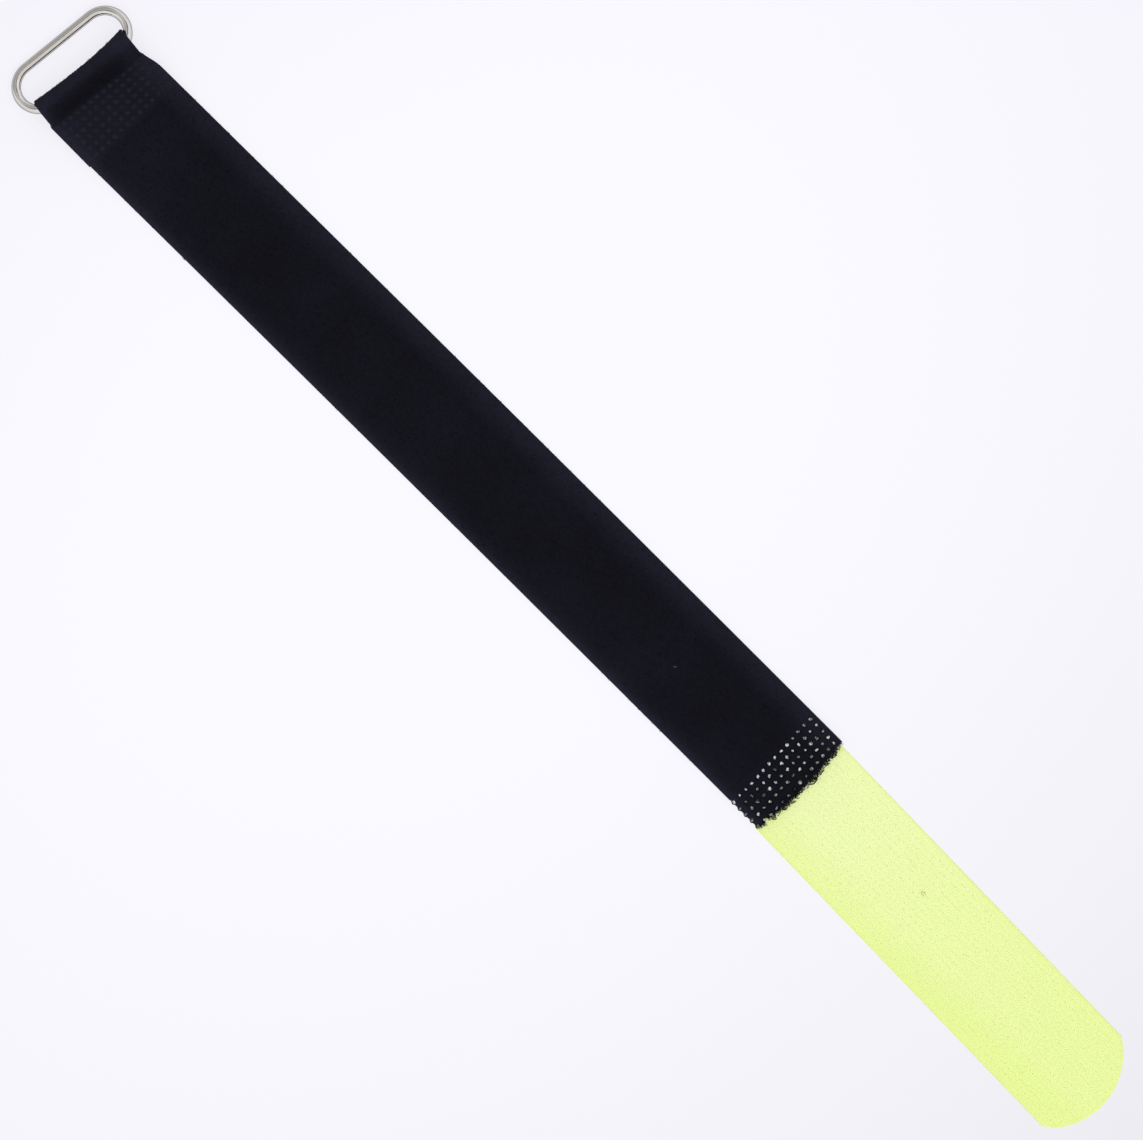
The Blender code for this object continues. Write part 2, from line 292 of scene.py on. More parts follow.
def tape_uv(piece, places):
    """A UV map in metres along and across the tape, from one place per point."""
    layer = piece.data.uv_layers.new(name="tape")
    corners = np.empty(len(piece.data.loops), np.int32)
    piece.data.loops.foreach_get("vertex_index", corners)
    layer.uv.foreach_set("vector", np.asarray(places, np.float32)[corners].ravel())


def slab_faces(rows, columns):
    """Faces of a closed slab whose upper and lower sides are grids of rows by columns points, upper side
    first, and how many belong to the upper side."""
    upper = np.arange(rows * columns).reshape(rows, columns)
    lower = upper + rows * columns

    def between(a, b, c, d):
        return np.stack([a.ravel(), b.ravel(), c.ravel(), d.ravel()], axis=1)

    sides = [
        between(upper[:-1, :-1], upper[1:, :-1], upper[1:, 1:], upper[:-1, 1:]),
        between(lower[:-1, 1:], lower[1:, 1:], lower[1:, :-1], lower[:-1, :-1]),
        between(lower[:-1, 0], lower[1:, 0], upper[1:, 0], upper[:-1, 0]),
        between(upper[:-1, -1], upper[1:, -1], lower[1:, -1], lower[:-1, -1]),
        between(upper[0, :-1], upper[0, 1:], lower[0, 1:], lower[0, :-1]),
        between(lower[-1, :-1], lower[-1, 1:], upper[-1, 1:], upper[-1, :-1]),
    ]
    return np.concatenate(sides), len(sides[0])


def slab_piece(name, upper, lower, along, across, front, back):
    """A closed tape between two grids of points, with one material on each side."""
    rows, columns = upper.shape[:2]
    faces, upper_count = slab_faces(rows, columns)
    points = np.concatenate([upper.reshape(-1, 3), lower.reshape(-1, 3)])
    piece = mesh_piece(name, points.tolist(), faces.tolist())
    places = vectors(along, across).reshape(-1, 2)
    tape_uv(piece, np.concatenate([places, places]))
    piece.data.materials.append(front)
    piece.data.materials.append(back)
    side = np.ones(len(faces), np.int32)
    side[:upper_count] = 0
    piece.data.polygons.foreach_set("material_index", side)
    return piece


def stamp(name, model, turns, places, attributes=None):
    """One piece with a copy of the model at each place, each with its own 3 by 3 turn and scale."""
    points = np.array([vert.co for vert in model.data.vertices])
    faces = [list(face.vertices) for face in model.data.polygons]
    copies = np.einsum("nij,pj->npi", turns, points) + places[:, None, :]
    stamped = []
    for start in range(0, len(places) * len(points), len(points)):
        stamped += [[start + corner for corner in face] for face in faces]
    bpy.data.objects.remove(model, do_unlink=True)
    piece = mesh_piece(name, copies.reshape(-1, 3).tolist(), stamped)
    for key, values in (attributes or {}).items():
        point_attribute(piece, key, np.repeat(values, len(points)))
    return piece


def turns_from(first, third, scales):
    """A 3 by 3 turn for each copy: its own Z runs along third, its X as near first as square to that
    allows, each axis with its scale."""
    third = unit(third)
    second = unit(np.cross(third, first))
    first = np.cross(second, third)
    return np.stack([first, second, third], axis=-1) * scales[:, None, :]


class StrapForm:
    """The strap's course, from the tail's end round the ring's bar to the cut end, as two grids of points:
    its pile side and its back."""

    def __init__(self, scene):
        self.strap, self.weld, self.tab = scene.tie_strap, scene.tie_weld, scene.tie_tab
        self.ring = scene.tie_ring
        self.half = self.strap.width / 2
        self.shares = columns_across(self.weld.columns * CELLS_PER_POINT, self.half, STRAP_RIM_COLUMNS)
        self.weld_x = CUT_X - self.weld.joint_rows * self.weld.pitch
        self.joint_height = self.tab.backing + LAYER_GAP
        self.pile = self.thickness(self.shares)
        self.tail_end = self.flat_row(self.strap.tail, self.strap.pile)
        self.pile_side, self.back, self.fold_row = self.course()
        self.across = self.shares[None] * self.half
        self.joint_row, self.joint_column = self.joint_place(self.pile_side[..., 0], self.across)
        middle = self.back[:, len(self.shares) // 2]
        self.along = np.concatenate([[0], np.cumsum(np.linalg.norm(np.diff(middle, axis=0), axis=1))])
        self.out = unit(self.pile_side - self.back)
        self.depth = np.linalg.norm(self.pile_side - self.back, axis=-1)

    def middle(self, x):
        """Y of the strap's middle line."""
        return self.strap.bow * (1 - ((CUT_X - x) / CUT_X) ** 2)

    def thickness(self, shares):
        """Thickness of the loop tape across its width, with a rounded rim."""
        rim_width, edge_share = 0.00012, 0.45
        inside = (1 - np.abs(shares)) * self.half
        rim = self.strap.selvedge * mix(edge_share, 1.0, quarter_round(inside / rim_width))
        return rim + (self.strap.pile - self.strap.selvedge) * quarter_round(inside / self.strap.crown)

    def flat_row(self, x, z):
        """A level row of points across the strap."""
        return vectors(x, self.middle(x) + self.shares * self.half, z)

    def eye_radius(self, along_bar):
        """Radius of the eye round the bar's axis, which clears the ring's rounded ends."""
        end_radius = self.ring.inside_width / 2
        straight_half = self.ring.inside_length / 2 - end_radius
        past = np.clip(np.abs(along_bar) - straight_half, 0.0, end_radius)
        edge = self.ring.wire / 2 + end_radius - np.sqrt(end_radius**2 - past**2)
        return edge + self.strap.eye_clearance

    def back_height(self, x):
        """Height of the strap's back past the tail, which leaves the tail at the slope of the layers."""
        start = self.strap.pile
        slope = (self.strap.pile - BAR.z) / self.strap.tail * self.strap.tail_drop
        u = min((x - self.strap.tail) / self.strap.tail_drop, 1.0)
        drop = start * (2 * u**3 - 3 * u**2 + 1) + slope * (u**3 - 2 * u**2 + u)
        rise = smooth(1 - (self.weld_x - x) / self.strap.joint_rise)
        return drop + self.joint_height * rise

    def course(self):
        """Rows of points on the pile side and on the back, and each row's place in the fold's weld grid,
        counted in points, which is -1 outside it."""
        strap, weld = self.strap, self.weld
        shares = self.shares[:, None]
        pile = self.pile[:, None]
        square = np.array((math.cos(BAR_SKEW), -math.sin(BAR_SKEW), 0.0))
        along_bar = np.array(ALONG_BAR)
        up = np.array((0.0, 0.0, 1.0))
        slope = math.atan2(strap.pile - BAR.z, strap.tail)
        away = square * math.cos(slope) + up * math.sin(slope)
        lift = up * math.cos(slope) - square * math.sin(slope)
        bar = up * BAR.z
        eye_half = self.ring.inside_length / 2 - strap.eye_room
        eye_length = float(self.eye_radius(eye_half)) + strap.eye_nose
        meet = bar + along_bar * shares * (eye_half + self.half) / 2 + away * eye_length
        opening = np.arccos(self.eye_radius(shares * eye_half) / eye_length)
        turn = 2 * math.pi - 2 * opening
        corner_power = 2.4
        rim_share, rim_depth = 0.03, 0.0003
        least_thickness = 0.0003

        def round_bar(step):
            """The back, the way out and the thickness at one step round the bar."""
            angle = slope - opening - turn * step / EYE_STEPS
            spoke = square * np.cos(angle) + up * np.sin(angle)
            to_nose = np.maximum(-np.cos(angle), 0) ** 2
            half = eye_half - strap.fold_rounding * to_nose * (shares < 0)
            inside = self.eye_radius(shares * half)
            corner = np.where(shares < 0, strap.left_corner, strap.right_corner)
            nose = self.ring.wire / 2 + strap.eye_clearance + strap.pile
            nose = nose + corner * np.abs(shares) ** corner_power
            nose = nose - rim_depth * np.clip(1 - (1 - np.abs(shares)) / rim_share, 0, 1) ** 2
            outside = mix(inside + pile, nose, to_nose)
            inside = np.maximum(np.minimum(inside, outside - least_thickness), outside - pile)
            centre = bar + along_bar * shares * half
            return centre + spoke * inside, spoke, outside - inside

        rows = []

        def add(back, out, thickness=pile, fold=-1.0):
            rows.append((back + out * thickness, back, fold))

        points = weld.fold_rows * CELLS_PER_POINT
        aside = np.array((0.0, -strap.tail_offset, 0.0))
        full_width_x, regain_share = 0.004, 0.55
        narrowed = np.clip(shares, 0, 1) * (self.middle(full_width_x) + self.half - meet[-1, 1])

        def fold_line(share):
            """The layers' middle line behind the eye, where the right edge soon regains its full width."""
            widened = narrowed * (1 - share) * smooth(share / regain_share)
            return mix(meet, self.tail_end, share) + widened * np.array((0.0, 1.0, 0.0))

        for i in range(points, -1, -1):
            line = fold_line(i / points) + aside * i / points
            add(line - lift * LAYER_GAP, -lift, fold=i / CELLS_PER_POINT)
        lower, spoke = round_bar(0)[:2]
        for i in range(1, NOSE_STEPS):
            share = i / NOSE_STEPS
            add(mix(meet - lift * LAYER_GAP, lower, share), unit(mix(-lift, spoke, smooth(share))))
        for step in range(EYE_STEPS + 1):
            add(*round_bar(step))
        upper, spoke = round_bar(EYE_STEPS)[:2]
        for i in range(NOSE_STEPS - 1, 0, -1):
            share = i / NOSE_STEPS
            add(mix(meet + lift * LAYER_GAP, upper, share), unit(mix(lift, spoke, smooth(share))))
        for i in range(points + 1):
            add(fold_line(i / points) + lift * LAYER_GAP, lift, fold=i / CELLS_PER_POINT)

        drop_end = strap.tail + strap.tail_drop
        rise_start = self.weld_x - strap.joint_rise
        places = evenly(strap.tail, drop_end, DROP_STEPS)
        places += evenly(drop_end, rise_start, RUN_STEPS)
        places += evenly(rise_start, self.weld_x - weld.pitch / 2, RISE_STEPS)
        places += evenly(places[-1], CUT_X, int((weld.joint_rows + 0.5) * CELLS_PER_POINT))
        bend = 0.004  # length in which the pile turns upright behind the tail
        for x in places:
            out = unit(mix(lift, up, smooth((x - strap.tail) / bend)))
            add(self.flat_row(x, self.back_height(x)), out)
        pile_side, back, fold = zip(*rows)
        return np.array(pile_side), np.array(back), np.array(fold)[:, None]

    def joint_place(self, x, across):
        """Row and column of the joint's weld grid at a place, counted in points."""
        row = (x + self.weld.joint_slant * across - self.weld_x) / self.weld.pitch
        column = ((across - self.weld.joint_offset) / self.strap.width + 0.5) * self.weld.columns
        return row, column

    def pressed(self, row_place, column_place, row_pitch, strength):
        """0 to 1 over the grid, 1 in the middle of each weld point of a zone."""
        row_place, column_place = np.broadcast_arrays(row_place, column_place)
        from_row = np.abs(row_place % 1 - 0.5) * row_pitch
        from_column = np.abs(column_place % 1 - 0.5) * self.strap.width / self.weld.columns
        soft = 0.00013
        far = np.maximum(from_row, from_column) - self.weld.size / 2
        inside = (1 - smooth((far + soft) / (2 * soft))) * (row_place >= 0) * (row_place < len(strength))
        row = np.clip(row_place.astype(int), 0, len(strength) - 1)
        column = np.clip(column_place.astype(int), 0, self.weld.columns - 1)
        return inside * strength[row, column]

    def shades(self):
        """Lightness of the pile over the grid: lighter in its weld zone, with painted sheen along the edges,
        on the fold's nose and over the left near the ring, and painted shade in the hollow behind the fold."""
        shares = self.shares[None]
        from_edge = (1 - np.abs(shares)) * self.half
        # Painted sheen along the strap's edges, stronger at the left edge
        left_rim, left_width, right_width = 0.0009, 0.0025, 0.0065
        left = 1.1 * np.exp(-from_edge / left_rim) + 0.22 * np.exp(-from_edge / left_width)
        right = 0.5 * smooth(1 - from_edge / right_width)
        edges = np.where(shares < 0, left, right)
        past_bar = self.pile_side[..., 0] - math.tan(BAR_SKEW) * self.pile_side[..., 1]
        # Painted sheen on the fold's nose, where the pile bends outward
        nose_end, nose_fade = 0.0012, 0.0026
        nose = 0.6 * smooth((nose_end - past_bar) / nose_fade)
        # Painted shade in the hollow behind the fold, where the layers meet
        hollow_x, hollow_width = 0.0026, 0.0016
        hollow = -0.09 * np.exp(-(((past_bar - hollow_x) / hollow_width) ** 2))
        pressed = 0.12 * np.clip(self.fold_row * 4, 0, 1)
        # Painted sheen over the left of the strap near the ring, fading along it
        sheen_start, sheen_fade, sheen_end = 0.0025, 0.003, 0.045
        painted_sheen = smooth((past_bar - sheen_start) / sheen_fade) * smooth(1 - past_bar / sheen_end)
        painted_sheen = 0.22 * painted_sheen * smooth(0.6 - shares)
        return 0.2 + edges + nose + hollow + pressed + painted_sheen

    def fray(self, points):
        """How far the uneven cut moves each point along the strap."""
        reach, notch_depth = 0.0021, 0.0008
        middle_reach, lean, corner_drop = 0.00037, 0.00026, 0.00083
        across = points[..., 1] - self.middle(CUT_X)
        share = across / self.half
        near = np.clip((points[..., 0] - CUT_X) / reach + 1, 0, 1)
        cut = middle_reach - lean * share - corner_drop * share**2
        cut = cut + 0.00010 * fine_noise(points, 2400.0, 3.0) + 0.00012 * fine_noise(points, 600.0, 5.0)
        return near * cut - near**6 * notch_depth * self.notch(across)

    def notch(self, across):
        """1 in the little notch near the cut's left corner, and 0 away from it."""
        notch_y, notch_width = -0.0099, 0.00036
        return np.exp(-(((across - notch_y) / notch_width) ** 2))


def to_world(points):
    """From places measured from the ring's bar to the shared frame."""
    return points + np.array((BAR.x, BAR.y, 0.0))


def weld_strengths(scene):
    """How hard each point was pressed: the fold's and the joint's, by row and column."""
    weld = scene.tie_weld
    draw = np.random.default_rng(11)
    fold = draw.uniform(0.55, 1.0, (weld.fold_rows, weld.columns))
    joint = draw.uniform(0.8, 1.0, (weld.joint_rows, weld.columns))
    return fold, joint


def new_material(name, colour, roughness, levels=None):
    """A Principled material, whose even levels are set on the shader's own sockets."""
    material = bpy.data.materials.new(name)
    material.use_nodes = True
    shader = material.node_tree.nodes["Principled BSDF"]
    shader.inputs["Base Color"].default_value = (*colour, 1.0)
    shader.inputs["Roughness"].default_value = roughness
    for socket, level in (levels or {}).items():
        shader.inputs[socket].default_value = level
    return material, shader


def add_node(tree, kind, inputs=None, **settings):
    """A shader node with its inputs linked where a socket is given and set where a value is."""
    node = tree.nodes.new("ShaderNode" + kind)
    for key, value in settings.items():
        setattr(node, key, value)
    for key, value in (inputs or {}).items():
        if isinstance(value, bpy.types.NodeSocket):
            tree.links.new(value, node.inputs[key])
        else:
            node.inputs[key].default_value = value
    return node


def mixed_colour(tree, factor, first, second):
    """The colour between two, by a factor socket."""
    node = add_node(tree, "Mix", data_type="RGBA")
    tree.links.new(factor, node.inputs[0])
    for index, colour in ((6, first), (7, second)):
        if isinstance(colour, bpy.types.NodeSocket):
            tree.links.new(colour, node.inputs[index])
        else:
            node.inputs[index].default_value = (*colour, 1.0)
    return node.outputs[2]


def ranged(tree, value, low, high, to_low, to_high):
    """A socket's value, moved from one range to another."""
    return add_node(
        tree,
        "MapRange",
        {"Value": value, "From Min": low, "From Max": high, "To Min": to_low, "To Max": to_high},
    ).outputs["Result"]


def added(tree, first, second, operation="ADD"):
    node = add_node(tree, "Math", operation=operation)
    for index, value in enumerate((first, second)):
        if isinstance(value, bpy.types.NodeSocket):
            tree.links.new(value, node.inputs[index])
        else:
            node.inputs[index].default_value = value
    return node.outputs[0]


def attribute_value(tree, name):
    return add_node(tree, "Attribute", attribute_name=name).outputs["Fac"]


def object_place(tree):
    return add_node(tree, "TexCoord").outputs["Object"]


def tape_place(tree):
    return add_node(tree, "UVMap", uv_map="tape").outputs["UV"]


def noise_over(tree, place, scale, detail, roughness=0.5):
    inputs = {"Vector": place, "Scale": scale, "Detail": detail, "Roughness": roughness}
    return add_node(tree, "TexNoise", inputs).outputs["Fac"]


def bands_over(tree, place, scale, distortion, direction):
    """Fine bands across the X or Y direction of a place."""
    inputs = {"Vector": place, "Scale": scale, "Distortion": distortion, "Detail": 1.0}
    return add_node(tree, "TexWave", inputs, bands_direction=direction).outputs["Fac"]


def coloured(tree, shader, colour):
    tree.links.new(colour, shader.inputs["Base Color"])


def bumped(tree, shader, height, distance, strength=1.0):
    bump = add_node(tree, "Bump", {"Height": height, "Distance": distance, "Strength": strength})
    tree.links.new(bump.outputs["Normal"], shader.inputs["Normal"])


def scaled(colour, factor):
    return tuple(channel * factor for channel in colour)


def black_shades(tree, factor, colour):
    """From half to three times as light as the colour."""
    return mixed_colour(tree, factor, scaled(colour, 0.5), scaled(colour, 3.0))


def pile_material(strap):
    """Napped loop pile: soft black with faint clumps, smoother where a weld point has melted it."""
    material, shader = new_material("black_pile", strap.pile_colour, 0.9, {"Specular IOR Level": 0.08})
    tree = material.node_tree
    place = object_place(tree)
    clumps = noise_over(tree, place, 1400.0, 5.0, 0.7)
    drift = noise_over(tree, place, 60.0, 3.0)
    loops = add_node(tree, "TexVoronoi", {"Vector": place, "Scale": 2400.0}).outputs["Distance"]
    grain = ranged(tree, added(tree, clumps, drift), 0.75, 1.3, -0.1, 0.12)
    # The shade attribute paints sheen, shade and highlights into the pile's colour
    factor = added(tree, attribute_value(tree, "shade"), grain)
    coloured(tree, shader, black_shades(tree, factor, strap.pile_colour))
    melt = attribute_value(tree, "melt")
    tree.links.new(ranged(tree, melt, 0.0, 1.0, 0.95, 0.4), shader.inputs["Roughness"])
    bumped(tree, shader, added(tree, clumps, loops), 0.00025, 0.8)
    return material


def knit_material(strap):
    """The strap's smooth back: fine lengthwise wales crossed by courses of the knit."""
    colour = strap.back_colour
    material, shader = new_material("black_knit", colour, 0.7, {"Specular IOR Level": 0.25})
    tree = material.node_tree
    place = tape_place(tree)
    relief = added(tree, bands_over(tree, place, 260.0, 0.6, "Y"), bands_over(tree, place, 420.0, 1.2, "X"))
    # Painted light and shade from the relief: the knit's ridges lighter, its grooves darker
    light = ranged(tree, relief, 0.2, 1.8, 0.0, 1.0)
    coloured(tree, shader, mixed_colour(tree, light, scaled(colour, 0.5), scaled(colour, 1.5)))
    bumped(tree, shader, relief, 0.0001)
    return material


def fibre_material(strap):
    """Single black nylon fibres, each a little lighter or darker."""
    material, shader = new_material("black_fibre", strap.pile_colour, 0.65, {"Specular IOR Level": 0.12})
    tree = material.node_tree
    grain = noise_over(tree, object_place(tree), 9000.0, 2.0)
    # On the pile's loops the shade attribute carries the strap's painted sheen and shade
    factor = added(tree, attribute_value(tree, "shade"), ranged(tree, grain, 0.3, 0.7, -0.1, 0.1))
    coloured(tree, shader, black_shades(tree, factor, strap.pile_colour))
    bumped(tree, shader, grain, 0.00003)
    return material


def tab_material(tab):
    """Woven hook tape: pale, finely speckled, and a fuller colour along its plain edges."""
    # Painted glow: the tape gives off a little light of its own
    material, shader = new_material("yellow_tape", tab.colour, 0.6, GLOWING_NYLON)
    tree = material.node_tree
    place = tape_place(tree)
    weave = added(tree, bands_over(tree, place, 560.0, 0.8, "Y"), bands_over(tree, place, 700.0, 0.8, "X"))
    speck = added(tree, noise_over(tree, place, 2200.0, 3.0, 0.6), noise_over(tree, place, 90.0, 2.0))
    base = mixed_colour(tree, attribute_value(tree, "edge"), tab.colour, tab.edge_colour)
    fuller = ranged(tree, speck, 0.7, 1.3, 0.1, 0.0)
    coloured(tree, shader, mixed_colour(tree, fuller, base, scaled(tab.edge_colour, 0.85)))
    bumped(tree, shader, weave, 0.00006)
    return material


def hook_material(tab):
    """Dyed nylon hooks, some nearer to the edges' fuller colour."""
    # Painted glow: the hooks give off a little light of its own
    material, shader = new_material("yellow_hooks", tab.colour, 0.5, GLOWING_NYLON)
    tree = material.node_tree
    factor = ranged(tree, attribute_value(tree, "shade"), 0.0, 1.0, 0.0, 0.5)
    coloured(tree, shader, mixed_colour(tree, factor, tab.colour, tab.edge_colour))
    bumped(tree, shader, noise_over(tree, object_place(tree), 7000.0, 2.0), 0.00002)
    return material


def melt_material(weld):
    """Melted nylon: glossy, pale with a painted bluish white highlight, greener where the tab's melt fills
    it, and dark where it is thin.
    """
    material, shader = new_material("melted_points", weld.melt_glint_white, 0.3, {"Specular IOR Level": 0.5})
    tree = material.node_tree
    grain = noise_over(tree, object_place(tree), 3500.0, 3.0)
    pale = mixed_colour(tree, attribute_value(tree, "green"), weld.melt_glint_white, weld.melt_green)
    melt = added(tree, attribute_value(tree, "bright"), ranged(tree, grain, 0.38, 0.58, -0.9, 0.4))
    clamped = ranged(tree, melt, 0.0, 1.0, 0.0, 1.0)
    coloured(tree, shader, mixed_colour(tree, clamped, weld.melt_thin, pale))
    bumped(tree, shader, grain, 0.0001)
    return material


def lint_material(name, colour):
    """Dull, finely mottled lint."""
    material, shader = new_material(name, colour, 0.8, {"Specular IOR Level": 0.2})
    tree = material.node_tree
    grain = noise_over(tree, object_place(tree), 8000.0, 2.0)
    coloured(tree, shader, mixed_colour(tree, grain, scaled(colour, 0.7), scaled(colour, 1.3)))
    return material


def ring_material(ring):
    """Nickel-plated wire with faint drawing lines and uneven gloss, and painted dark reflections of the
    surroundings where it turns away from the eye."""
    material, shader = new_material("nickel", ring.colour, 0.2, {"Metallic": 1.0})
    tree = material.node_tree
    place = object_place(tree)
    haze = noise_over(tree, place, 320.0, 4.0)
    factor = ranged(tree, haze, 0.3, 0.7, 0.0, 1.0)
    colour = mixed_colour(tree, factor, ring.colour, scaled(ring.colour, 0.9))
    # Painted dark reflection, deepening towards the rims as the wire turns away from the eye
    facing = add_node(tree, "LayerWeight").outputs["Facing"]
    for start, end, lightness in ((0.15, 0.5, 0.48), (0.5, 0.75, 0.12)):
        turned = ranged(tree, facing, start, end, 0.0, 1.0)
        colour = mixed_colour(tree, turned, colour, scaled(ring.colour, lightness))
    coloured(tree, shader, colour)
    tree.links.new(ranged(tree, haze, 0.3, 0.7, 0.1, 0.2), shader.inputs["Roughness"])
    bumped(tree, shader, noise_over(tree, place, 5200.0, 2.0), 0.000015, 0.5)
    return material


class TIE_OT_add_strap(bpy.types.Operator):
    """Adds the folded loop tape with its pressed weld points"""

    bl_idname = "tie.add_strap"
    bl_label = "Loop strap"

    def execute(self, context):
        scene = context.scene
        form = StrapForm(scene)
        strap, weld = scene.tie_strap, scene.tie_weld
        fold, joint = weld_strengths(scene)
        fold_pitch = strap.tail / weld.fold_rows * 0.75
        fold_column = (form.shares[None] + 1) / 2 * weld.columns
        fold_melt = form.pressed(form.fold_row, fold_column, fold_pitch, fold)
        joint_melt = form.pressed(form.joint_row, form.joint_column, weld.pitch, joint)
        melt = np.maximum(fold_melt, joint_melt)

        zone_depth, least_thickness = 0.00010, 0.00012
        side = form.pile_side
        nap = 0.00005 * fine_noise(side, 1500.0) + 0.00003 * fine_noise(side, 3900.0, 7.0)
        crowned = np.minimum(form.pile / strap.pile, 1.0)[None]
        in_zone = np.clip(np.maximum(form.fold_row, form.joint_row + 0.3) * 4, 0, 1)
        sunk = fold_melt * weld.fold_depth + joint_melt * weld.joint_depth + zone_depth * in_zone * crowned
        height = np.maximum(nap * crowned * (1 - melt) - sunk, least_thickness - form.depth)

        # Beside each row of the joint the left edge is squeezed out
        edge_share, squeeze, dent = 0.05, 0.00022, 0.4
        beside = np.clip(1 - (1 + form.shares[None]) / edge_share, 0, 1)
        lobes = np.maximum(np.cos(2 * math.pi * (form.joint_row - 0.5)), -dent) * (form.joint_row > 0)
        shift = vectors(form.fray(side), -squeeze * beside * lobes, 0.0)
        pile_side = side + form.out * height[..., None] + shift
        back = form.back + shift

        # Painted highlight on the melted weld points, strongest behind the fold; the shades add painted sheen
        # and shade
        shade = form.shades() + 1.0 * fold_melt + 0.1 * joint_melt
        piece = slab_piece(
            "strap_tape",
            to_world(pile_side),
            to_world(back),
            form.along[:, None],
            form.across,
            pile_material(strap),
            knit_material(strap),
        )
        point_attribute(piece, "melt", np.concatenate([melt.ravel(), np.zeros(melt.size)]))
        point_attribute(piece, "shade", np.concatenate([shade.ravel(), np.zeros(shade.size)]))
        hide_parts("loop_strap")
        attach(piece, "strap")
        return {"FINISHED"}


def arch_model(sides):
    """A half ring of thin wire that stands on its ends, about one unit high and two wide."""
    bpy.ops.object.select_all(action="DESELECT")
    bpy.ops.mesh.primitive_torus_add(
        major_radius=1.0,
        minor_radius=0.14,
        major_segments=8,
        minor_segments=sides,
        rotation=(math.pi / 2, 0, 0),
    )
    model = bpy.context.active_object
    bpy.ops.object.transform_apply(location=False, rotation=True, scale=False)
    bpy.ops.object.mode_set(mode="EDIT")
    bpy.ops.mesh.select_all(action="SELECT")
    bpy.ops.mesh.bisect(plane_co=(0, 0, 0), plane_no=(0, 0, 1), use_fill=True, clear_inner=True)
    bpy.ops.object.mode_set(mode="OBJECT")
    return model


class TIE_OT_add_pile(bpy.types.Operator):
    """Adds the loose loops that stand on the strap's napped side"""

    bl_idname = "tie.add_pile"
    bl_label = "Strap pile"

    def execute(self, context):
        scene = context.scene
        form = StrapForm(scene)
        strap, weld = scene.tie_strap, scene.tie_weld
        draw = np.random.default_rng(23)
        rows, columns = form.pile_side.shape[:2]
        side = form.pile_side
        steps = np.linalg.norm(np.diff(side[:, columns // 2], axis=0), axis=1)
        widths = np.diff(form.shares)
        row = draw.choice(rows - 1, strap.loops, p=steps / steps.sum())
        column = draw.choice(columns - 1, strap.loops, p=widths / widths.sum())
        u, v = draw.random((2, strap.loops, 1))
        near = mix(side[row, column], side[row + 1, column], u)
        far = mix(side[row, column + 1], side[row + 1, column + 1], u)
        places = mix(near, far, v)
        along = side[row + 1, column] - side[row, column]
        across = side[row, column + 1] - side[row, column]
        normal = unit(np.cross(along, across))
        zone = (form.fold_row[row, 0] >= 0) | (form.joint_row[row, column] >= 0)

        angle = draw.uniform(0, math.pi, (strap.loops, 1))
        heading = unit(along) * np.cos(angle) + unit(across) * np.sin(angle)
        lean = normal + draw.normal(0, 0.25, (strap.loops, 1)) * np.cross(normal, heading)
        scales = vectors(
            draw.uniform(0.00020, 0.00042, strap.loops),
            draw.uniform(0.00025, 0.00035, strap.loops),
            draw.uniform(0.00010, 0.00022, strap.loops),
        )
        zone_size, root_depth, zone_depth = 0.45, 0.00004, 0.00008
        scales = scales * np.where(zone, zone_size, 1.0)[:, None]
        places = places - normal * (root_depth + zone_depth * zone[:, None])
        # Each loop takes the strap's painted sheen and shade where it stands, and a random tone
        piece = stamp(
            "strap_pile",
            arch_model(3),
            turns_from(heading, lean, scales),
            to_world(places),
            {"shade": form.shades()[row, column] + draw.uniform(-0.1, 0.2, strap.loops)},
        )
        piece.data.materials.append(fibre_material(strap))
        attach(piece, "strap")
        return {"FINISHED"}


class TIE_OT_add_cut_fibres(bpy.types.Operator):
    """Adds the loose fibres at the strap's cut end"""

    bl_idname = "tie.add_cut_fibres"
    bl_label = "Cut fibres"

    def execute(self, context):
        scene = context.scene
        form = StrapForm(scene)
        strap = scene.tie_strap
        draw = np.random.default_rng(31)
        count = strap.cut_fibres
        share = draw.uniform(-0.99, 0.99, count)
        height = form.joint_height + draw.uniform(0.15, 0.9, count) * form.thickness(share)
        places = vectors(CUT_X, form.middle(CUT_X) + share * form.half, height)
        places[:, 0] += form.fray(places) + draw.uniform(-0.0003, 0.00025, count)
        angle = draw.normal(0, 0.9, count)
        heading = vectors(np.cos(angle), np.sin(angle), draw.uniform(-0.6, 0.1, count))
        curl = vectors(-np.sin(angle), np.cos(angle), draw.normal(0, 0.8, count))
        curl *= draw.choice([-1.0, 1.0], (count, 1))
        bare = 0.9 * form.notch(share * form.half) + 0.7 * share**12
        tuft = (0.8 + 0.8 * fine_noise(places, 900.0, 9.0)) * (1 - np.minimum(bare, 0.95))
        longest, width = 0.0008, 0.00028
        reach = tuft * (draw.uniform(0.0002, 0.0005, count) + longest * draw.random(count) ** 3)
        scales = vectors(reach, width, reach * draw.uniform(0.4, 1.0, count))
        piece = stamp(
            "cut_fibres",
            arch_model(3),
            turns_from(heading, curl, scales),
            to_world(places),
            {"shade": draw.uniform(0.1, 0.5, count)},
        )
        piece.data.materials.append(fibre_material(strap))
        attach(piece, "strap")
        return {"FINISHED"}


def melt_model(seed):
    """An uneven melted drop, about one unit across, flat below."""
    bpy.ops.object.select_all(action="DESELECT")
    bpy.ops.mesh.primitive_ico_sphere_add(subdivisions=2, radius=0.5)
    model = bpy.context.active_object
    bpy.ops.object.mode_set(mode="EDIT")
    bpy.ops.mesh.select_all(action="SELECT")
    bpy.ops.transform.vertex_random(offset=0.09, seed=seed, normal=0.6)
    bpy.ops.mesh.bisect(plane_co=(0, 0, -0.2), plane_no=(0, 0, 1), use_fill=True, clear_inner=True)
    bpy.ops.object.mode_set(mode="OBJECT")
    return model


